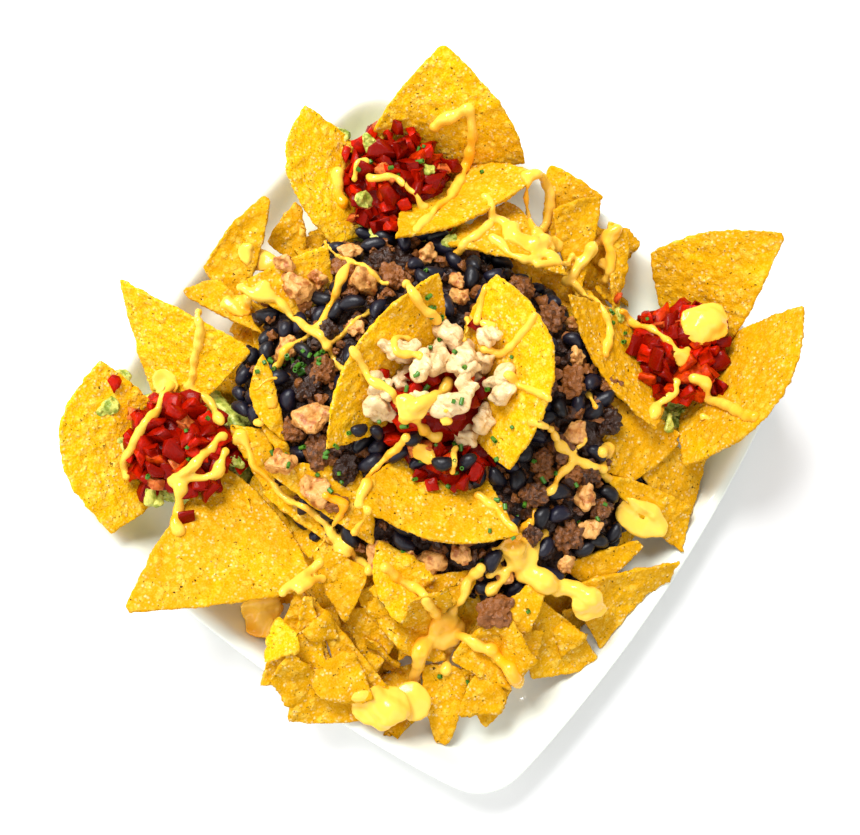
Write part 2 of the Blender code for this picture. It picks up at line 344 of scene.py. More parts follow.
plate_face = tree_of([plate])
chip_nodes = sorted(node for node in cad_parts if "_chip_" in node)
chips = []
browning = random.Random(2)
for node in chip_nodes:
    chip = copy_of_node(node, node + "_fried")
    bpy.ops.object.mode_set(mode="EDIT")
    bpy.ops.mesh.select_mode(type="EDGE")
    bpy.ops.mesh.select_all(action="DESELECT")
    bpy.ops.mesh.edges_select_sharp(sharpness=CHIP_EDGE)
    bpy.ops.transform.edge_crease(value=1)
    bpy.ops.object.mode_set(mode="OBJECT")
    group = node.split("_chip_")[0]
    fry(chip, STIFF_WARP if group in HELD_UPRIGHT else LOOSE_WARP)
    keep_above_plate(chip)
    # A chip's toast value is partly painted shade, and it is stored for the material to read.
    toast_and_painted_shade = TOASTS_AND_PAINTED_SHADE.get(node, TOASTS_AND_PAINTED_SHADE.get(group, TOAST_AND_SHADE_ELSEWHERE))
    tint(chip, toast_and_painted_shade + browning.uniform(*BROWNING))
    dress(chip, fried_corn, "corn_chip", node)
    chips.append(chip)

# The broken chips: what is left of the bag lies under everything, as sectors with snapped edges. A bed of
# crumbs fills the gaps between them.
FRAGMENT_RADIUS = 24 * MM
FRAGMENT_THICKNESS = 1.9 * MM
FRAGMENT_VOXEL = 1.5 * MM
FRAGMENT_COUNT = 110
FRAGMENT_SHADES = (0.3, 1.0)
# How far apart the models stand while they are shaped, so that a relief gives each a form of its own.
SHARD_STRIDE = 50 * MM
SNAP_SLANT = 0.3
# Where more pieces lie between the loose chips, in mm.
FRONT_PIECES = (
    (50, -100), (60, -105), (55, -90), (20, -105), (40, -125), (90, -90), (25, -130), (5, -125), (-20, -85),
    (-30, -100), (-10, -100), (70, -120), (90, -65), (30, -75), (115, -45), (40, -90), (10, 115), (20, 125),
    (25, 110), (65, -75), (55, -70),
)
# Each shape of piece: the angle that its sector opens in degrees, and how much of its tip is snapped off
# in mm.
SHARDS = ((62, 5), (40, 9), (80, 3), (52, 8), (70, 12), (95, 6))
TRIES_PER_PLACE = 40
# Nothing is laid on a slope whose normal points upwards by less than this share.
STEEPEST = 0.2
# The height from which the nearest face is sought, where nothing lies straight below.
FOOD_MIDDLE = 40 * MM


def shrunken_core(node, name, shares, voxel):
    """The node's heap drawn in towards the middle of its foot, as an even mesh."""
    low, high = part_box(node)
    foot = Vector(((low.x + high.x) / 2, (low.y + high.y) / 2, low.z))
    core = copy_of_node(node, name)
    bpy.ops.object.mode_set(mode="EDIT")
    bpy.ops.mesh.select_all(action="SELECT")
    bpy.ops.transform.resize(value=shares, center_override=foot)
    bpy.ops.object.mode_set(mode="OBJECT")
    add_modifier(core, "REMESH", mode="VOXEL", voxel_size=voxel)
    apply_modifiers(core)
    bpy.ops.object.shade_smooth()
    return core


def places_on(nodes, count, spacing, draw, blocked=None, clearance=0.0):
    """Up to count places on the upper faces of the nodes, apart by the spacing, each with its slope.

    A place with anything in the blocked tree nearer than the clearance is passed over."""
    heap = tree_of([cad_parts[node] for node in nodes])
    boxes = [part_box(node) for node in nodes]
    low = Vector(min(corner[axis] for corner, _ in boxes) for axis in range(3))
    high = Vector(max(corner[axis] for _, corner in boxes) for axis in range(3))
    found = []
    for _ in range(count * TRIES_PER_PLACE):
        x = draw.uniform(low.x, high.x)
        y = draw.uniform(low.y, high.y)
        spot, slope = first_below(heap, x, y, high.z + MM)
        if spot is None or slope.z < STEEPEST:
            continue
        if any((spot - other).length < spacing for other, _ in found):
            continue
        if blocked and blocked.find_nearest(spot, clearance)[0] is not None:
            continue
        found.append((spot, slope))
        if len(found) == count:
            break
    return found


def places_at(objects, spots):
    """Where each spot, in mm across the plate, meets the top of the objects, and the slope there."""
    heap = tree_of(objects)
    found = []
    for x, y, *_ in spots:
        spot, slope = first_below(heap, x * MM, y * MM)
        if spot is None:
            spot, slope, _, _ = heap.find_nearest(Vector((x * MM, y * MM, FOOD_MIDDLE)))
        found.append((spot, slope if slope.z > STEEPEST else UP))
    return found


def lay(name, models, places, draw, sink, tilt, sizes, shade=(0.0, 1.0)):
    """Copies of the models, one at each place, joined into one object of that name.

    Each lies along the slope, leaning up to the tilt, sunk by up to the sink, and scaled within the sizes.
    The copies carry a random shade for their material."""
    copies = []
    for spot, slope in places:
        model = draw.choice(models)
        copy = bpy.data.objects.new(name, model.data.copy())
        bpy.context.scene.collection.objects.link(copy)
        lean = Matrix.Rotation(draw.uniform(-tilt, tilt), 4, "X")
        lean = lean @ Matrix.Rotation(draw.uniform(-tilt, tilt), 4, "Y")
        turn = Matrix.Rotation(draw.uniform(0, math.tau), 4, "Z")
        upright = slope.to_track_quat("Z", "Y").to_matrix().to_4x4()
        size = Matrix.Scale(draw.uniform(*sizes), 4)
        place = Matrix.Translation(spot - slope * draw.uniform(*sink))
        copy.data.transform(place @ upright @ lean @ turn @ size)
        tint(copy, draw.uniform(*shade))
        copies.append(copy)
    return join(name, copies)


def join(name, objects):
    """One object of that name, made of them all."""
    bpy.ops.object.select_all(action="DESELECT")
    for obj in objects:
        obj.select_set(True)
    bpy.context.view_layer.objects.active = objects[0]
    bpy.ops.object.join()
    joined = bpy.context.object
    joined.name = name
    return joined


def discard(objects):
    for obj in objects:
        bpy.data.objects.remove(obj, do_unlink=True)


shards = []
for number, (opening, tip) in enumerate(SHARDS):
    bpy.ops.object.select_all(action="DESELECT")
    bpy.ops.mesh.primitive_circle_add(vertices=60, radius=FRAGMENT_RADIUS, fill_type="NGON")
    shard = bpy.context.object
    side = math.radians(opening)
    bpy.ops.object.mode_set(mode="EDIT")
    bpy.ops.mesh.bisect(plane_co=(0, 0, 0), plane_no=(0, -1, 0), clear_outer=True)
    bpy.ops.mesh.select_all(action="SELECT")
    bpy.ops.mesh.bisect(plane_co=(0, 0, 0), plane_no=(-math.sin(side), math.cos(side), 0), clear_outer=True)
    bpy.ops.mesh.select_all(action="SELECT")
    along = Vector((math.cos(side / 2), math.sin(side / 2), 0))
    snap = (along.x, along.y + SNAP_SLANT, 0)
    bpy.ops.mesh.bisect(plane_co=along * tip * MM, plane_no=snap, clear_inner=True)
    bpy.ops.object.mode_set(mode="OBJECT")
    bpy.ops.object.origin_set(type="ORIGIN_GEOMETRY")
    add_modifier(shard, "SOLIDIFY", thickness=FRAGMENT_THICKNESS, offset=0)
    add_modifier(shard, "REMESH", mode="VOXEL", voxel_size=FRAGMENT_VOXEL)
    shard.location = (number * SHARD_STRIDE, 0, 0)
    roughen(shard, warp=12 * MM, wave=2 * MM, blisters=0.9 * MM, crumble=0.5 * MM, anchor="GLOBAL")
    apply_modifiers(shard)
    bpy.ops.object.shade_smooth()
    shards.append(shard)

large_chips = tree_of(chips)
front_chips = [chip for chip in chips if chip.name.startswith(("front", "left_chip"))]
draw = random.Random(7)
spread = places_on(
    ["broken_chips"], FRAGMENT_COUNT, spacing=9 * MM, draw=draw, blocked=large_chips, clearance=1.5 * MM
)
beans_heap = tree_of([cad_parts["beans_and_meat"]])
spread = [place for place in spread if beans_heap.ray_cast(place[0], UP)[0] is None]
broken = lay(
    "broken_chip_pieces", shards, spread, draw,
    sink=(0, 3 * MM), tilt=0.4, sizes=(0.6, 1.1), shade=FRAGMENT_SHADES,
)
gaps = places_at([*front_chips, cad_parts["plate"]], FRONT_PIECES)
filler = lay(
    "front_pieces", shards, gaps, draw,
    sink=(-3.5 * MM, -1 * MM), tilt=0.3, sizes=(1.0, 1.4), shade=FRAGMENT_SHADES,
)
broken = join("broken_chip_pieces", [broken, filler])
keep_above_plate(broken)
discard(shards)
dress(broken, fried_corn, "corn_chip", "broken_chips")

crumb_bed = shrunken_core("broken_chips", "chip_crumb_bed", shares=(0.94, 0.94, 0.86), voxel=2 * MM)
rubble = relief("crumb_rubble", "CLOUDS", 6 * MM, noise_depth=2)
add_modifier(crumb_bed, "DISPLACE", texture=rubble, strength=4 * MM)
apply_modifiers(crumb_bed)
keep_above_plate(crumb_bed)
dress(crumb_bed, fried_corn, "corn_chip", "broken_chips")

# The guacamole: avocado mashed with a fork and spooned into each nest of chips, under the tomato. It is
# pale green and lumpy, with a wet face.
AVOCADO = srgb(206, 208, 96)
AVOCADO_DARK = srgb(132, 152, 36)

guacamole = Finish(
    "mashed_avocado",
    {
        "Roughness": 0.35,
        "Subsurface Weight": 0.15,
        "Subsurface Radius": (0.5, 0.6, 0.2),
        "Subsurface Scale": 1.5 * MM,
    },
)
streaks = guacamole.step(guacamole.noise(3.5 * MM, 3), 0.4, 0.65)
guacamole.feed("Base Color", guacamole.mix(streaks, AVOCADO, AVOCADO_DARK))
guacamole.bump(guacamole.noise(1.5 * MM, 3), 0.6 * MM)
mash = relief("avocado_mash", "CLOUDS", 4 * MM, noise_depth=2)
dollop = relief("avocado_dollop", "CLOUDS", 14 * MM, noise_depth=0)

spoonfuls = []
for nest in ("left", "top", "right"):
    node = f"{nest}_nest_guacamole"
    spoonful = shrunken_core(node, f"{nest}_mashed_avocado", shares=(1.1, 1.1, 1.0), voxel=1 * MM)
    bpy.ops.object.origin_set(type="ORIGIN_GEOMETRY")
    add_modifier(spoonful, "CAST", factor=0.45)
    add_modifier(spoonful, "DISPLACE", texture=dollop, strength=9 * MM, texture_coords="GLOBAL")
    add_modifier(spoonful, "DISPLACE", texture=mash, strength=3.5 * MM, texture_coords="GLOBAL")
    apply_modifiers(spoonful)
    bpy.ops.object.transform_apply(location=True)
    bpy.ops.object.shade_smooth()
    keep_above_plate(spoonful)
    dress(spoonful, guacamole, "guacamole", node)
    spoonfuls.append(spoonful)

# The salsa: fresh tomato cut in pieces about 10 mm long, heaped in the nests and in the crown over wet
# pulp. A few pieces have rolled away from their heap.
TOMATO_RED = srgb(200, 26, 0)
TOMATO_DARK = srgb(128, 10, 0)
TOMATO_ORANGE = srgb(214, 78, 8)
TOMATO_CORE = srgb(228, 130, 62)
SALSA_NODES = ("left_nest_salsa", "top_nest_salsa", "right_nest_salsa", "crown_salsa")
# How many dice lie on each heap, and a few under the pale chicken.
DICE = {
    "left_nest_salsa": 62, "top_nest_salsa": 62, "right_nest_salsa": 58, "crown_salsa": 48,
    "white_chicken": 18,
}
# Each shape of dice: its three sides in mm.
DICE_SIDES = ((11, 8, 5), (10, 9, 6), (13, 7, 4.5), (8, 8, 5), (12, 9, 5))
DICE_STRIDE = 40 * MM
DICE_EDGE = math.radians(40)
# Where single dice have rolled to, in mm.
STRAY_DICE = (
    (-125, -75), (-110, -70), (-60, -105), (-110, 90), (-105, 100), (-95, 105), (-105, 80), (-100, 70),
    (40, 105), (105, 90), (95, 85), (-10, -20), (20, -30), (30, -20), (-25, -5), (20, 12), (-10, 40),
    (-4, 40),
)
PULP_SHADE = 0.2
LUMP_EDGE = math.radians(32)
# Where the models of all the lumps stand while they are dented: so far apart, in a row beside the dice.
LUMP_STRIDE = 60 * MM
LUMP_ROW = 30 * MM
# Where avocado shows between the tomato and the chips, in mm.
AVOCADO_SHOWS = (
    (-105, -95), (-80, -105), (-125, -65), (-75, -50), (-60, -70), (-100, 90), (-115, 90), (-85, 65),
    (-70, 55), (-45, 70), (-70, 95), (95, 65), (45, 95), (-120, -85), (-90, 100),
)

tomato = Finish(
    "diced_tomato",
    {
        "Roughness": 0.28,
        "Specular IOR Level": 0.12,
        "Subsurface Weight": 0.3,
        "Subsurface Radius": (1.0, 0.2, 0.1),
        "Subsurface Scale": 2 * MM,
    },
)
piece_shade = tomato.add("ShaderNodeAttribute", {"attribute_name": "shade"}, output="Fac")
flesh = tomato.mix(tomato.step(piece_shade, 0.15, 0.7), TOMATO_DARK, TOMATO_RED)
flesh = tomato.mix(tomato.step(piece_shade, 0.66, 0.85) * 0.7, flesh, TOMATO_ORANGE)
flesh = tomato.mix(tomato.step(piece_shade, 0.88, 0.95) * 0.8, flesh, TOMATO_CORE)
flesh = tomato.mix(tomato.step(tomato.noise(3.5 * MM, 3), 0.42, 0.62) * 0.6, flesh, TOMATO_DARK)
tomato.feed("Base Color", flesh)
tomato.bump(tomato.noise(1.5 * MM, 2), 0.25 * MM)
dent = relief("soft_dent", "CLOUDS", 5 * MM, noise_depth=1)


def lumps(name, count, size, dents, strength, subdivisions):
    """A few different lumps of about that size: balls of few faces, dented each at its own place."""
    made = []
    for number in range(count):
        bpy.ops.object.select_all(action="DESELECT")
        bpy.ops.mesh.primitive_ico_sphere_add(subdivisions=subdivisions, radius=0.5)
        lump = bpy.context.object
        lump.data.transform(Matrix.Diagonal((*size, 1)))
        lump.location = (number * LUMP_STRIDE, LUMP_ROW, 0)
        add_modifier(lump, "DISPLACE", texture=dents, strength=strength, texture_coords="GLOBAL")
        apply_modifiers(lump)
        bpy.ops.object.shade_smooth_by_angle(angle=LUMP_EDGE)
        lump.name = name
        made.append(lump)
    return made


dice_models = []
for number, sides in enumerate(DICE_SIDES):
    bpy.ops.object.select_all(action="DESELECT")
    bpy.ops.mesh.primitive_cube_add(size=1)
    dice = bpy.context.object
    dice.data.transform(Matrix.Diagonal((*sides, 1)) @ Matrix.Scale(MM, 4))
    bpy.ops.object.mode_set(mode="EDIT")
    bpy.ops.mesh.select_all(action="SELECT")
    bpy.ops.mesh.subdivide(number_cuts=1)
    bpy.ops.mesh.select_all(action="SELECT")
    # One corner is cut off, at a slant that differs from one shape to the next.
    slant = (1, 0.5 - 0.3 * number, 0.9)
    bpy.ops.mesh.bisect(plane_co=(0.5 * MM, 0, 0), plane_no=slant, use_fill=True, clear_outer=True)
    bpy.ops.object.mode_set(mode="OBJECT")
    dice.location = (number * DICE_STRIDE, 0, 0)
    add_modifier(dice, "BEVEL", width=0.5 * MM, segments=1, angle_limit=DICE_EDGE)
    add_modifier(dice, "DISPLACE", texture=dent, strength=4 * MM, texture_coords="GLOBAL")
    apply_modifiers(dice)
    bpy.ops.object.shade_smooth()
    dice_models.append(dice)
draw = random.Random(11)
spread = []
for node, count in DICE.items():
    spread += places_on(
        [node], count, spacing=4.6 * MM, draw=draw, blocked=large_chips, clearance=2.2 * MM
    )
salsa = lay("tomato_dice", dice_models, spread, draw, sink=(-1 * MM, 3 * MM), tilt=0.9, sizes=(0.7, 1.25))
rolled = places_at([*spoonfuls, *chips, salsa], STRAY_DICE)
strays = lay(
    "stray_tomato_dice", dice_models, rolled, draw, sink=(-3 * MM, -1.5 * MM), tilt=0.6, sizes=(0.55, 0.9)
)
salsa = join("tomato_dice", [salsa, strays])
keep_above_plate(salsa)
discard(dice_models)
dress(salsa, tomato, "tomato_salsa", *SALSA_NODES)

avocado_models = lumps("avocado", 5, (11 * MM, 9 * MM, 4 * MM), mash, strength=5 * MM, subdivisions=3)
shown = places_at([*spoonfuls, *chips, salsa], AVOCADO_SHOWS)
avocado = lay("avocado_lumps", avocado_models, shown, draw, sink=(-MM, MM), tilt=0.5, sizes=(0.7, 1.1))
discard(avocado_models)
dress(avocado, guacamole, "guacamole")

for node in (*SALSA_NODES, "white_chicken"):
    name = "tomato_under_chicken" if node == "white_chicken" else f"{node}_pulp"
    pulp = shrunken_core(node, name, shares=(0.86, 0.86, 0.8), voxel=1 * MM)
    add_modifier(pulp, "DISPLACE", texture=dent, strength=3 * MM)
    apply_modifiers(pulp)
    tint(pulp, PULP_SHADE)
    dress(pulp, tomato, "tomato_salsa", node)

# The beans and meat: black beans, browned minced meat and chunks of browned chicken, spooned over the chips
# as one wide heap. They lie over a bed of the same crumbs, darkened almost to black as a painted shadow in
# the gaps between them.
MEAT_BROWN = srgb(140, 82, 30)
MEAT_DARK_AND_SHADOW = srgb(48, 22, 6)
BEAN_BLACK = srgb(8, 7, 12)
BEAN_BLUE = srgb(20, 18, 36)
CHICKEN_TAN = srgb(224, 164, 88)
CHICKEN_BROWN = srgb(166, 90, 26)
# The bed's shade, below that of any crumb: painted shadow in the gaps between the beans and crumbs.
BED_PAINTED_SHADOW = -0.3
CRUMB_COUNT = 420
BEAN_COUNT = 210
# Each shape of bean: its length and width, and for all of them the thickness and the bend, all in mm.
BEAN_SIZES = ((12, 7), (11, 7.4), (13, 7.2))
BEAN_THICKNESS = 7
BEAN_BEND = 6
# Where single beans lie in the crown, in mm.
CROWN_BEANS = ((-20, -30), (-10, -30), (0, -25), (-15, -25), (10, -25), (20, -20), (25, -10), (5, -20))
# Each chunk of chicken, and each clump of mince: where it lies and its size, all in mm.
CHUNKS = (
    (-60, 30, 18), (-80, 20, 10), (-80, 10, 9), (-40, -35, 18), (-20, -60, 16), (-50, 10, 10), (60, 30, 13),
    (80, 10, 13), (20, -65, 16), (30, -60, 12), (40, -55, 15), (50, -45, 11), (90, -20, 10), (90, 0, 11),
    (-70, -15, 14), (-85, 10, 16), (-95, 15, 10), (-75, 40, 11), (-40, -60, 16), (70, -40, 10), (-20, 50, 11),
    (-25, 55, 9), (40, 60, 10), (-45, 60, 11), (30, 75, 9),
)
CLUMPS = (
    (-30, -45, 16), (-15, -45, 13), (75, -55, 16), (-50, -15, 13), (-25, -40, 11), (-45, -45, 11),
    (60, 20, 13), (55, 10, 11), (70, 15, 12), (75, 20, 11), (70, -20, 10), (-50, -25, 12), (20, 70, 14),
    (45, 50, 13), (60, -5, 12), (85, -10, 13), (-60, 45, 13), (-10, -60, 10), (35, 40, 12), (-50, 40, 12),
    (-70, 30, 11), (-60, 0, 12), (50, -20, 13), (45, -35, 12), (0, 75, 14), (-30, 75, 12), (70, 45, 12),
    (60, 60, 11), (90, 10, 10), (30, -45, 12),
)

meat = Finish("browned_mince", {"Roughness": 0.42})
meat_shade = meat.add("ShaderNodeAttribute", {"attribute_name": "shade"}, output="Fac")
# Seared crumbs turn brown at random; the bed's low shade takes it to the darkest brown, as painted shadow.
seared_and_shadowed = meat.step(meat.noise(2.2 * MM, 3) * 0.6 + meat_shade * 0.5, 0.34, 0.7)
meat.feed("Base Color", meat.mix(seared_and_shadowed, MEAT_DARK_AND_SHADOW, MEAT_BROWN))
meat.bump(meat.noise(0.9 * MM, 3), 0.6 * MM)

bean_skin = Finish("black_bean_skin", {"Roughness": 0.4, "Specular IOR Level": 0.4})
bean_shade = bean_skin.add("ShaderNodeAttribute", {"attribute_name": "shade"}, output="Fac")
bean_skin.feed("Base Color", bean_skin.mix(bean_shade, BEAN_BLACK, BEAN_BLUE))
bean_skin.bump(bean_skin.noise(2.5 * MM, 2), 0.2 * MM)

chicken_skin = Finish("browned_chicken_flesh", {"Roughness": 0.42})
crust = chicken_skin.step(chicken_skin.noise(4 * MM, 3), 0.42, 0.68)
chicken_skin.feed("Base Color", chicken_skin.mix(crust, CHICKEN_TAN, CHICKEN_BROWN))
chicken_skin.bump(chicken_skin.noise(1.4 * MM, 3), 0.6 * MM)

crumble = relief("meat_crumble", "CLOUDS", 3.2 * MM, noise_depth=2)
torn = relief("torn_flesh", "CLOUDS", 7 * MM, noise_depth=2)
meat_bed = shrunken_core("beans_and_meat", "minced_meat_bed_in_painted_shadow", shares=(0.96, 0.96, 0.86), voxel=1.2 * MM)
add_modifier(meat_bed, "DISPLACE", texture=crumble, strength=7 * MM)
apply_modifiers(meat_bed)
# The bed is tinted darker than any crumb, as painted shadow.
tint(meat_bed, BED_PAINTED_SHADOW)
dress(meat_bed, meat, "beans_and_meat", "beans_and_meat")


def lay_by_hand(name, models, objects, spots, model_size, draw, sink, tilt):
    """Copies of the models at chosen spots on the objects, each scaled from its model to its own size."""
    placed = []
    for number, (place, spot) in enumerate(zip(places_at(objects, spots), spots)):
        share = spot[2] * MM / model_size
        placed.append(lay(f"{name}_{number}", models, [place], draw, sink, tilt, (share, share)))
    return join(name, placed)


draw = random.Random(23)
heap_tops = [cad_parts["beans_and_meat"], *front_chips]
chunk_models = lumps("chunk", 6, (16 * MM, 12 * MM, 10 * MM), torn, strength=10 * MM, subdivisions=4)
chunks = lay_by_hand(
    "browned_chicken", chunk_models, heap_tops, CHUNKS, 17 * MM, draw, sink=(-2 * MM, 0), tilt=0.5,
)
dress(chunks, chicken_skin, "beans_and_meat", "beans_and_meat")

crumb_models = lumps("crumb", 6, (6 * MM, 5 * MM, 4.5 * MM), crumble, strength=7.5 * MM, subdivisions=2)
clump_models = lumps("clump", 4, (15 * MM, 12 * MM, 10 * MM), crumble, strength=7 * MM, subdivisions=4)
clumps = lay_by_hand(
    "mince_clumps", clump_models, heap_tops, CLUMPS, 14 * MM, draw, sink=(-MM, MM), tilt=0.5,
)
taken = tree_of([chunks, clumps, *chips])

bean_models = []
for length, width in BEAN_SIZES:
    bpy.ops.object.select_all(action="DESELECT")
    bpy.ops.mesh.primitive_uv_sphere_add(segments=12, ring_count=6, radius=0.5)
    bean = bpy.context.object
    bean.data.transform(Matrix.Diagonal((length * MM, width * MM, BEAN_THICKNESS * MM, 1)))
    for vert in bean.data.vertices:
        vert.co.y += (vert.co.x / (length * MM)) ** 2 * BEAN_BEND * MM
    bpy.ops.object.shade_smooth()
    bean_models.append(bean)
bean_places = places_on(
    ["beans_and_meat"], BEAN_COUNT, spacing=7 * MM, draw=draw, blocked=taken, clearance=3.5 * MM
)
beans = lay(
    "heap_beans", bean_models, bean_places, draw, sink=(-2.5 * MM, 1.5 * MM), tilt=0.6, sizes=(0.85, 1.1)
)
crown_places = places_at([*chips, salsa], CROWN_BEANS)
crown_beans = lay(
    "crown_beans", bean_models, crown_places, draw, sink=(-4 * MM, -3 * MM), tilt=0.2, sizes=(0.75, 0.95)
)
beans = join("black_beans", [beans, crown_beans])
dress(beans, bean_skin, "beans_and_meat", "beans_and_meat")

crumb_places = places_on(
    ["beans_and_meat"], CRUMB_COUNT, spacing=4 * MM, draw=draw, blocked=large_chips, clearance=1.5 * MM
)
crumbs = lay("loose_crumbs", crumb_models, crumb_places, draw, sink=(0, 3 * MM), tilt=0.9, sizes=(0.5, 1.2))
mince = join("minced_meat_crumbs", [crumbs, clumps])
dress(mince, meat, "beans_and_meat", "beans_and_meat")
discard(chunk_models + clump_models + bean_models + crumb_models)

# The white chicken: poached breast pulled apart into pale chunks along its fibres, and laid in the crown
# over a little tomato.
POACHED = srgb(232, 202, 150)
POACHED_SHADE = srgb(188, 138, 76)
# Each piece: where it lies and its size, in mm.
WHITE_CHUNKS = (
    (-30, 5, 11), (-25, 10, 11), (-20, 0, 10), (-15, 20, 13), (-10, 25, 13), (0, 30, 13), (5, 40, 11),
    (10, 30, 11), (-5, 15, 13), (-10, 10, 12), (0, 5, 13), (-5, -5, 12), (10, 0, 13), (15, 5, 13),
    (10, 20, 14), (20, 25, 13), (-25, -10, 13), (-20, -15, 14), (20, -5, 13), (-5, -10, 11), (25, 20, 11),
    (5, 15, 12), (0, 20, 12), (10, 10, 12), (-15, 0, 12), (25, 10, 12),
)

breast = Finish(
    "poached_chicken",
    {
        "Roughness": 0.3,
        "Subsurface Weight": 0.1,
        "Subsurface Radius": (1.0, 0.7, 0.4),
        "Subsurface Scale": 2 * MM,
    },
)
fibre = breast.noise(3 * MM, 3, stretch=(1, 2.5, 1))
breast.feed("Base Color", breast.mix(breast.step(fibre, 0.5, 0.8), POACHED, POACHED_SHADE))
breast.bump(breast.noise(1.6 * MM, 3), 0.5 * MM)
flaked = relief("flaked_flesh", "CLOUDS", 5 * MM, noise_depth=1)
crown_chips = [chip for chip in chips if chip.name.startswith("crown")]
draw = random.Random(5)
breast_models = lumps("breast", 6, (11 * MM, 8 * MM, 7 * MM), flaked, strength=8 * MM, subdivisions=4)
white_chunks = lay_by_hand(
    "white_chicken_chunks", breast_models, [salsa, *crown_chips], WHITE_CHUNKS, 10 * MM, draw,
    sink=(-5 * MM, -3.5 * MM), tilt=0.6,
)
discard(breast_models)
dress(white_chunks, breast, "white_chicken", "white_chicken")

# The chives: hollow green stalks snipped into rings of 1 to 4 mm, and thrown over the plate in pinches,
# some of them tight and some wide.
CHIVE_GREEN = srgb(24, 88, 10)
CHIVE_LIGHT = srgb(92, 150, 40)
RING_LENGTHS = (1.6 * MM, 2.4 * MM, 3.4 * MM)
RING_RADIUS = 1 * MM
RING_WALL = 0.4 * MM
RING_EDGE = math.radians(40)
RING_STEEPEST = 0.1
# Each pinch: its middle in mm, how far it spreads, and how many rings it holds.
PINCHES = (
    (-60, -15, 8, 16), (-70, -25, 6, 10), (45, 95, 12, 14), (-85, -80, 24, 8), (-80, 85, 24, 9),
    (0, 10, 30, 14), (15, -20, 14, 12), (60, 0, 34, 16), (-30, 40, 30, 12), (-20, -45, 16, 9),
    (60, -50, 40, 7), (85, -100, 10, 2), (-40, -60, 12, 3),
)

chive = Finish("snipped_chive", {"Roughness": 0.35})
chive.feed("Base Color", chive.mix(chive.noise(4 * MM), CHIVE_GREEN, CHIVE_LIGHT))
chive_models = []
for length in RING_LENGTHS:
    bpy.ops.object.select_all(action="DESELECT")
    bpy.ops.mesh.primitive_cylinder_add(
        vertices=10, radius=RING_RADIUS, depth=length, end_fill_type="NOTHING", rotation=(0, math.pi / 2, 0)
    )
    bpy.ops.object.transform_apply(rotation=True)
    ring = bpy.context.object
    add_modifier(ring, "SOLIDIFY", thickness=RING_WALL)
    apply_modifiers(ring)
    bpy.ops.object.shade_smooth_by_angle(angle=RING_EDGE)
    chive_models.append(ring)
food = tree_of([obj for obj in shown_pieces() if obj.name != "porcelain_plate"])
draw = random.Random(41)
ring_places = []
for x, y, reach, count in PINCHES:
    for _ in range(count):
        thrown = (draw.gauss(x, reach / 2) * MM, draw.gauss(y, reach / 2) * MM)
        spot, slope = first_below(food, *thrown)
        if spot is not None and slope.z > RING_STEEPEST:
            ring_places.append((spot, slope))
chives = lay(
    "chive_rings", chive_models, ring_places, draw, sink=(-0.9 * MM, -0.5 * MM), tilt=0.7, sizes=(0.8, 1.15)
)
discard(chive_models)
dress(chives, chive, "guacamole")

# The cheese sauce: warm and thin enough to pour, squeezed over the finished plate from a bottle. It lies
# in beads and threads on what is highest, sags across the gaps and gathers in round drops.
SAUCE_GOLD = srgb(250, 166, 6)
SAUCE_PALE = srgb(254, 202, 72)
SAUCE_VOXEL = 0.85 * MM
SAUCE_STEP = 1 * MM
SAUCE_FALL = 1.8
ROUTE_SMOOTHING = 24
DRAPE_SMOOTHING = 3
# How far a thread strays from its route, in mm, and over what length it strays and comes back. The noise
# module takes its seed from the clock unless it is given one.
SWAY = 2.4
SWAY_LENGTH = 9 * MM
SWAY_SEED = 3
# How much a thread swells and narrows, and the length of one bead.
BEADING = 0.6
BEAD_LENGTH = 5 * MM
END_SHARE = 0.52
THINNEST_GAP = 30 * MM
THINNEST_SHARE = 0.65
DRIP = 4 * MM
POOL_FLATNESS = 0.75
POOL_RISE = 0.2
# A pool's outline: how much it bulges and ripples, and how its bulges are spread round it.
POOL_BULGE = 0.4
POOL_RIPPLE = 0.1
BULGE_SPREAD = 0.9
RIPPLE_SPREAD = 2.5
POOL_VARIETY = 10 * MM
AROUND = [(dx * MM, dy * MM) for dx in (-2.5, 0, 2.5) for dy in (-2.5, 0, 2.5)]

# Each thread: its width, then the few places that it is squeezed through, all in mm.
LEFT_THREADS = (
    (4.5, (-105, -5), (-85, 0), (-55, -5)),
    (4, (-70, 35), (-65, 5), (-70, -25)),
    (3.5, (-50, 20), (-55, -5)),
    (3.5, (-55, -5), (-40, -10)),
    (3, (-90, 40), (-75, 35), (-50, 35)),
    (4.2, (-115, -25), (-105, -35), (-100, -55)),
    (4.5, (-100, -55), (-90, -55), (-75, -60)),
    (5, (-105, -60), (-100, -70), (-100, -85)),
    (4.4, (-100, -85), (-100, -100), (-95, -105)),
    (5, (-70, -65), (-70, -85), (-75, -95)),
    (5, (-65, -70), (-60, -80), (-75, -95)),
    (6.5, (-70, -95), (-65, -105), (-60, -110)),
    (3.8, (-65, -60), (-40, -70), (0, -70)),
    (2, (-65, -30), (-70, -40)),
)
TOP_THREADS = (
    (6, (-80, 115), (-70, 130), (-60, 120), (-55, 95)),
    (4.4, (-55, 95), (-55, 65)),
    (3.8, (-90, 75), (-80, 80), (-60, 80)),
    (3.8, (-95, 80), (-100, 75), (-95, 70)),
    (6.5, (-105, 70), (-95, 60)),
    (5.6, (-30, 120), (-20, 130), (-10, 115), (-10, 100)),
    (4.4, (-30, 120), (-10, 100)),
    (9, (-20, 95), (-10, 90), (0, 105)),
    (4.2, (-40, 100), (-30, 95), (-20, 95)),
    (5, (-35, 70), (-30, 90)),
    (4.4, (-25, 85), (-10, 80), (5, 95)),
    (4, (0, 85), (10, 95), (10, 105)),
    (6, (20, 130), (15, 120), (15, 95)),
    (4.2, (20, 95), (35, 90), (45, 85), (50, 70)),
    (5, (20, 125), (25, 120), (30, 110)),
)
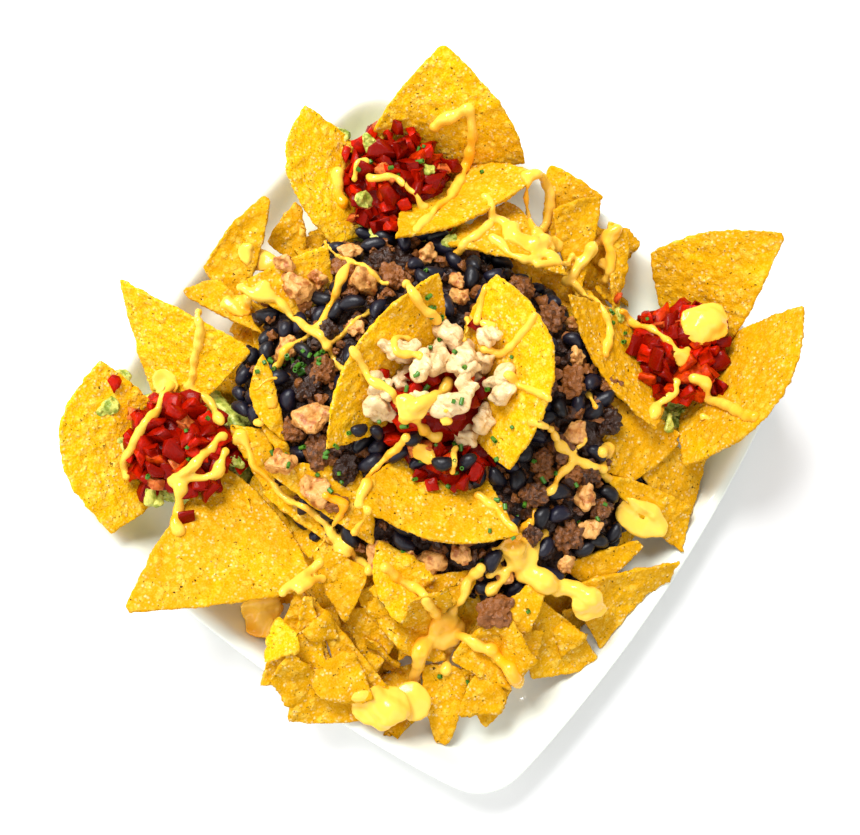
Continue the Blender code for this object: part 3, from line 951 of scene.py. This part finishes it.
CROWN_THREADS = (
    (4, (-40, -5), (-25, -10), (-10, -10)),
    (4, (-10, 60), (-10, 50), (-5, 40)),
    (4, (15, 50), (15, 35), (5, 30)),
    (3.8, (20, 25), (40, 25)),
    (4.8, (-40, 35), (-30, 30), (-20, 30)),
    (4, (-25, 15), (-30, 10), (-25, 5), (-15, 10)),
    (5.5, (0, 10), (0, 0), (-5, -15)),
    (5.5, (-5, -10), (5, -15), (10, -10)),
    (3.4, (-10, 40), (-5, 30)),
    (4.4, (0, -20), (-5, -40), (0, -55)),
    (3.4, (20, -10), (25, -20)),
    (4.4, (40, -20), (50, -20), (65, -25)),
    (3.2, (60, -35), (65, -25)),
)
RIGHT_THREADS = (
    (3.8, (45, 95), (60, 95), (80, 90), (80, 95)),
    (4.8, (85, 80), (85, 70), (85, 60)),
    (5.5, (90, 85), (105, 85), (120, 80)),
    (3.4, (55, 50), (60, 45)),
    (4.8, (40, 15), (50, 20), (65, 20), (85, 25)),
    (4.4, (65, 20), (65, 0)),
    (2.8, (65, 30), (65, 20)),
    (5, (75, 30), (75, 40), (80, 35), (80, 25)),
    (4.2, (65, -10), (65, -20)),
    (5.5, (75, -15), (75, -25)),
    (4, (65, -45), (65, -35)),
    (9, (65, -30), (80, -35), (95, -30), (110, -25)),
    (5.5, (70, -40), (70, -50)),
)
FRONT_THREADS = (
    (4.6, (0, -85), (-5, -105)),
    (4.4, (5, -90), (0, -100)),
    (5, (25, -70), (45, -70), (65, -75)),
    (5, (60, -45), (60, -60), (65, -75)),
    (7.5, (65, -75), (60, -90), (70, -110)),
    (6, (65, -75), (75, -90)),
    (7, (65, -75), (85, -70), (105, -75)),
    (2, (-5, -75), (-5, -85)),
    (4.8, (-5, -70), (20, -75)),
    (4, (-15, -60), (-5, -55), (-5, -70)),
    (4.4, (5, -55), (5, -65)),
)
# Each pool: where it lies, its length, width and height, all in mm, and its turn in degrees.
POOLS = (
    (80, 110, 26, 22, 5, 60), (60, -120, 26, 21, 6, 20), (-10, -120, 24, 19, 8, -60),
    (110, -30, 17, 13, 5, 30), (-95, 0, 12, 9, 4, 0), (-110, 15, 20, 12, 5, 20), (-105, -10, 18, 12, 4, 60),
    (-110, -60, 20, 12, 3, -30), (-60, -40, 7, 7, 4, 0), (-60, -50, 6, 6, 4, 0), (-105, 40, 5, 5, 4, 0),
    (-65, -60, 10, 7, 5, 90), (80, 90, 8, 7, 5, 0), (105, 75, 6, 4, 3, 0), (-5, -10, 15, 12, 5, 0),
    (0, 40, 8, 5, 5, 0), (10, -5, 8, 6, 5, 0), (10, -20, 13, 8, 5, 10), (110, 20, 28, 18, 7, 10),
    (70, -30, 20, 16, 5, 0), (65, -75, 20, 16, 12, 0), (70, -110, 19, 17, 6, 0), (105, -75, 9, 8, 5, 0),
    (5, -75, 9, 7, 5, 0), (20, 85, 6, 6, 4, 0), (20, 125, 9, 8, 5, 0), (25, 115, 8, 7, 5, 0),
    (-5, 95, 17, 12, 4, 30),
)
CHEESE_NODES = ("right_nest_cheese", "front_cheese", "front_left_cheese", "front_right_cheese")

sauce = Finish(
    "cheese_sauce",
    {
        "Roughness": 0.17,
        "Specular IOR Level": 0.4,
        "Subsurface Weight": 0.04,
        "Subsurface Radius": (1.0, 0.8, 0.2),
        "Subsurface Scale": 2 * MM,
    },
)
cream = sauce.step(sauce.noise(24 * MM, 2), 0.26, 0.56)
sauce.feed("Base Color", sauce.mix(cream, SAUCE_GOLD, SAUCE_PALE))
below = tree_of([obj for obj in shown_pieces() if obj.type == "MESH"])


def height_at(x, y):
    """The top of whatever lies at that place on the plate."""
    spot, _ = first_below(below, x, y)
    return spot.z if spot else 0.0


def smoothed(values, rounds):
    """The values with each but the first and last drawn towards its neighbours."""
    for _ in range(rounds):
        threes = zip(values, values[1:], values[2:])
        values[1:-1] = [(before + here + after) / 3 for before, here, after in threes]
    return values


def draped(route):
    """Points a step apart along the route, resting on what is below and hanging across its gaps.

    With them come their shares of the full width, as a hanging thread draws itself thin."""
    corners = [Vector((x * MM, y * MM)) for x, y in route]
    flat = []
    for first, second in zip(corners, corners[1:]):
        steps = max(1, round((second - first).length / SAUCE_STEP))
        flat += [first.lerp(second, step / steps) for step in range(steps)]
    flat.append(corners[-1])
    flat = smoothed(flat, ROUTE_SMOOTHING)
    for number, point in enumerate(flat[1:-1], start=1):
        sway = noise.noise_vector(Vector((*point, 0)) / SWAY_LENGTH) * SWAY * MM
        flat[number] = point + Vector((sway.x, sway.y))
    tops = [height_at(*point) for point in flat]
    fall = SAUCE_STEP * SAUCE_FALL
    held = [max(top - abs(i - j) * fall for j, top in enumerate(tops)) for i in range(len(tops))]
    thinning = [
        max(THINNEST_SHARE, 1 - (height - top) / THINNEST_GAP) for height, top in zip(held, tops)
    ]
    held = smoothed(held, DRAPE_SMOOTHING)
    points = [Vector((*point, height)) for point, height in zip(flat, held)]
    return points, smoothed(thinning, DRAPE_SMOOTHING)


noise.seed_set(SWAY_SEED)
blobs = []
for width, *route in (*LEFT_THREADS, *TOP_THREADS, *CROWN_THREADS, *RIGHT_THREADS, *FRONT_THREADS):
    points, shares = draped(route)
    bpy.ops.object.select_all(action="DESELECT")
    bpy.ops.curve.primitive_nurbs_path_add()
    thread = bpy.context.object
    thread.data.splines.clear()
    spline = thread.data.splines.new("POLY")
    spline.points.add(len(points) - 1)
    for point, spot, share in zip(spline.points, points, shares):
        point.co = (*spot, 1)
        point.radius = width / 2 * MM * share * (1 + BEADING * noise.noise(spot / BEAD_LENGTH))
    thread.data.bevel_depth = 1
    thread.data.bevel_resolution = 2
    thread.data.use_fill_caps = True
    bpy.ops.object.convert(target="MESH")
    blobs.append(bpy.context.object)
    for end in (points[0], points[-1]):
        bpy.ops.mesh.primitive_uv_sphere_add(
            segments=12, ring_count=8, radius=width * END_SHARE * MM, location=end
        )
        bpy.ops.object.transform_apply()
        blobs.append(bpy.context.object)
for x, y, length, width, height, turn in POOLS:
    bpy.ops.object.select_all(action="DESELECT")
    bpy.ops.mesh.primitive_uv_sphere_add(segments=32, ring_count=16, radius=0.5)
    pool = bpy.context.object
    middle = Vector((x * MM, y * MM, 0))
    spread_out = Matrix.Diagonal((length * MM, width * MM, height * MM, 1))
    spin = Matrix.Rotation(math.radians(turn), 4, "Z") @ spread_out
    # The pool lies level with the higher part of what is round its middle, and follows the rest only so far.
    nearby = sorted(height_at(middle.x + dx, middle.y + dy) for dx, dy in AROUND)
    level = nearby[len(nearby) * 2 // 3]
    for vert in pool.data.vertices:
        spot = spin @ vert.co
        edge = Vector((spot.x, spot.y, 0)).normalized() * BULGE_SPREAD + middle / POOL_VARIETY
        ripple = POOL_RIPPLE * noise.noise(edge * RIPPLE_SPREAD)
        swell = 1 + POOL_BULGE * noise.noise(edge) + ripple
        spot = Vector((spot.x * swell, spot.y * swell, spot.z))
        beds = [height_at(middle.x + spot.x + dx, middle.y + spot.y + dy) for dx, dy in AROUND]
        bed = sum(beds) / len(beds)
        bed = min(max(bed, level - DRIP), level + DRIP)
        lift = (spot.z + height * POOL_RISE * MM) * POOL_FLATNESS
        vert.co = (middle.x + spot.x, middle.y + spot.y, bed + lift)
    blobs.append(pool)
poured = join("cheese_sauce", blobs)
runny = relief("runny_sauce", "CLOUDS", 5 * MM, noise_depth=1)
add_modifier(poured, "REMESH", mode="VOXEL", voxel_size=SAUCE_VOXEL)
add_modifier(poured, "DISPLACE", texture=runny, strength=1.3 * MM)
add_modifier(poured, "SMOOTH", factor=0.5, iterations=8)
apply_modifiers(poured)
bpy.ops.object.shade_smooth()
keep_above_plate(poured)
dress(poured, sauce, "cheese_sauce", *CHEESE_NODES)

# The floor, the soft lights over it, and the camera, which looks almost straight down on the plate, a
# little from the front.
FLOOR_SIZE = 6
FLOOR_WHITE = (0.9, 0.9, 0.9)
CAMERA_TARGET = Vector((0, 2 * MM, 24 * MM))
CAMERA_DISTANCE = 542 * MM
CAMERA_AZIMUTH = math.radians(19.4)
CAMERA_ELEVATION = math.radians(79.1)
CAMERA_ROLL = math.radians(16.6)
CAMERA_LENS = 47.15
SKY_STRENGTH = 0.55

ground = Finish("matt_floor", {"Base Color": FLOOR_WHITE, "Roughness": 0.8})
bpy.ops.object.select_all(action="DESELECT")
bpy.ops.mesh.primitive_plane_add(size=FLOOR_SIZE)
floor = bpy.context.object
floor.name = "floor"
floor.data.materials.append(ground.material)


def add_light(name, place, size, power):
    """A square lamp at the place, facing the middle of the plate."""
    bpy.ops.object.light_add(type="AREA", location=place)
    lamp = bpy.context.object
    lamp.name = name
    lamp.data.size = size
    lamp.data.energy = power
    lamp.rotation_euler = (-Vector(place)).to_track_quat("-Z", "Y").to_euler()


add_light("key_light", (-0.9, 0.35, 1.35), size=0.7, power=34)
add_light("fill_light", (1.1, -0.4, 1.4), size=1.4, power=7)
add_light("front_light", (-0.2, -1.3, 1.1), size=1.2, power=6)
add_light("left_light", (-1.1, -0.8, 0.45), size=0.9, power=5)
world = bpy.data.worlds.new("soft_studio")
world.use_nodes = True
sky = world.node_tree.nodes["Background"]
sky.inputs["Color"].default_value = (1, 1, 1, 1)
sky.inputs["Strength"].default_value = SKY_STRENGTH
bpy.context.scene.world = world
bpy.context.scene.view_settings.view_transform = "Standard"

bpy.ops.object.camera_add()
camera = bpy.context.object
camera.data.lens = CAMERA_LENS
turned = Matrix.Rotation(CAMERA_AZIMUTH, 4, "Z") @ Matrix.Rotation(math.pi / 2 - CAMERA_ELEVATION, 4, "X")
stand = Matrix.Translation(CAMERA_TARGET + turned @ Vector((0, 0, CAMERA_DISTANCE)))
camera.matrix_world = stand @ turned @ Matrix.Rotation(CAMERA_ROLL, 4, "Z")
bpy.context.scene.camera = camera
